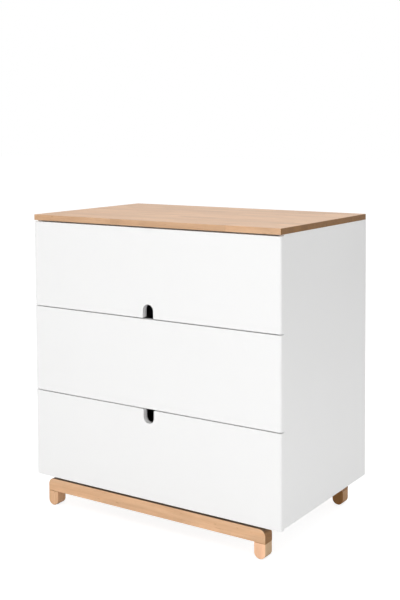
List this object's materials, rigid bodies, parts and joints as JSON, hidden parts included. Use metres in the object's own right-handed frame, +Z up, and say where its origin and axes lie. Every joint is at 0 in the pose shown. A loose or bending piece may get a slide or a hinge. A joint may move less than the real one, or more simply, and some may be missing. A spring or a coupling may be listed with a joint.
{
  "type": "changing table",
  "caption": "Changing table built as a white lacquered chest of drawers with a flat hardwood top, finger notches and a low wooden base.",
  "frame": {"origin": "on the floor under the middle of the chest, at the bottom centre of its box", "axes": "+Z up, +X to the right of someone facing the drawers, drawers open towards -Y"},
  "size_m": [0.9, 0.552, 0.932],
  "materials": {
    "hardwood_slab": "oiled, satin, finger-jointed staves",
    "hardwood_base": "oiled, satin",
    "white_lacquer_fronts": "satin white lacquer",
    "white_lacquer_sides": "satin white lacquer",
    "white_board": "white melamine, satin",
    "back_board": "white foil on fibreboard, matte",
    "drawer_board": "white melamine, satin",
    "drawer_bottom_board": "white foil on fibreboard, matte",
    "beech_dowel": "raw beech",
    "glide_plastic": "matte",
    "slide_steel": "bright zinc plated",
    "zinc": "die-cast zinc",
    "screw_steel": "zinc plated"
  },
  "bodies": {
    "carcass": {"top_slab": "hardwood_slab", "bottom_panel": "white_board", "back_panel": "back_board", "top_rail_front": "white_board", "top_rail_rear": "white_board", "base_rail_front": "hardwood_base", "base_rail_rear": "hardwood_base", "foot_glides": "glide_plastic", "foot_bolts": "screw_steel", "base_screws": "screw_steel", "slab_screws": "screw_steel", "back_panel_screws": "screw_steel", "carcass_cams": "zinc", "carcass_cam_bolts": "screw_steel", "carcass_dowels": "beech_dowel", "anti_tip_anchor": "zinc", "anti_tip_anchor_screws": "screw_steel", "side_panel_left": "white_lacquer_sides", "side_panel_right": "white_lacquer_sides", "foot_front_left": "hardwood_base", "foot_front_right": "hardwood_base", "foot_rear_left": "hardwood_base", "foot_rear_right": "hardwood_base", "bottom_slide_cabinet_members": "slide_steel", "middle_slide_cabinet_members": "slide_steel", "top_slide_cabinet_members": "slide_steel", "cabinet_slide_screws": "screw_steel"},
    "bottom_drawer": {"bottom_drawer_front": "white_lacquer_fronts", "bottom_drawer_side_left": "drawer_board", "bottom_drawer_side_right": "drawer_board", "bottom_drawer_back": "drawer_board", "bottom_drawer_bottom": "drawer_bottom_board", "bottom_drawer_cams": "zinc", "bottom_drawer_cam_bolts": "screw_steel", "bottom_drawer_back_screws": "screw_steel", "bottom_slide_drawer_members": "slide_steel", "bottom_slide_screws": "screw_steel"},
    "bottom_slide_middles": {"bottom_slide_middle_members": "slide_steel"},
    "middle_drawer": {"middle_drawer_front": "white_lacquer_fronts", "middle_drawer_side_left": "drawer_board", "middle_drawer_side_right": "drawer_board", "middle_drawer_back": "drawer_board", "middle_drawer_bottom": "drawer_bottom_board", "middle_drawer_cams": "zinc", "middle_drawer_cam_bolts": "screw_steel", "middle_drawer_back_screws": "screw_steel", "middle_slide_drawer_members": "slide_steel", "middle_slide_screws": "screw_steel"},
    "middle_slide_middles": {"middle_slide_middle_members": "slide_steel"},
    "top_drawer": {"top_drawer_front": "white_lacquer_fronts", "top_drawer_side_left": "drawer_board", "top_drawer_side_right": "drawer_board", "top_drawer_back": "drawer_board", "top_drawer_bottom": "drawer_bottom_board", "top_drawer_cams": "zinc", "top_drawer_cam_bolts": "screw_steel", "top_drawer_back_screws": "screw_steel", "top_slide_drawer_members": "slide_steel", "top_slide_screws": "screw_steel"},
    "top_slide_middles": {"top_slide_middle_members": "slide_steel"}
  },
  "joints": [
    {"name": "bottom_drawer_slide", "type": "slide", "parent": "carcass", "child": "bottom_drawer", "axis": [0, -1, 0], "range_m": [0, 0.45]},
    {"name": "bottom_slide_middle_travel", "type": "slide", "parent": "carcass", "child": "bottom_slide_middles", "axis": [0, -1, 0], "range_m": [0, 0.225]},
    {"name": "middle_drawer_slide", "type": "slide", "parent": "carcass", "child": "middle_drawer", "axis": [0, -1, 0], "range_m": [0, 0.45]},
    {"name": "middle_slide_middle_travel", "type": "slide", "parent": "carcass", "child": "middle_slide_middles", "axis": [0, -1, 0], "range_m": [0, 0.225]},
    {"name": "top_drawer_slide", "type": "slide", "parent": "carcass", "child": "top_drawer", "axis": [0, -1, 0], "range_m": [0, 0.45]},
    {"name": "top_slide_middle_travel", "type": "slide", "parent": "carcass", "child": "top_slide_middles", "axis": [0, -1, 0], "range_m": [0, 0.225]}
  ],
  "couplings": [
    {"joint": "bottom_slide_middle_travel", "follows": "bottom_drawer_slide", "ratio": 0.5},
    {"joint": "middle_slide_middle_travel", "follows": "middle_drawer_slide", "ratio": 0.5},
    {"joint": "top_slide_middle_travel", "follows": "top_drawer_slide", "ratio": 0.5}
  ]
}
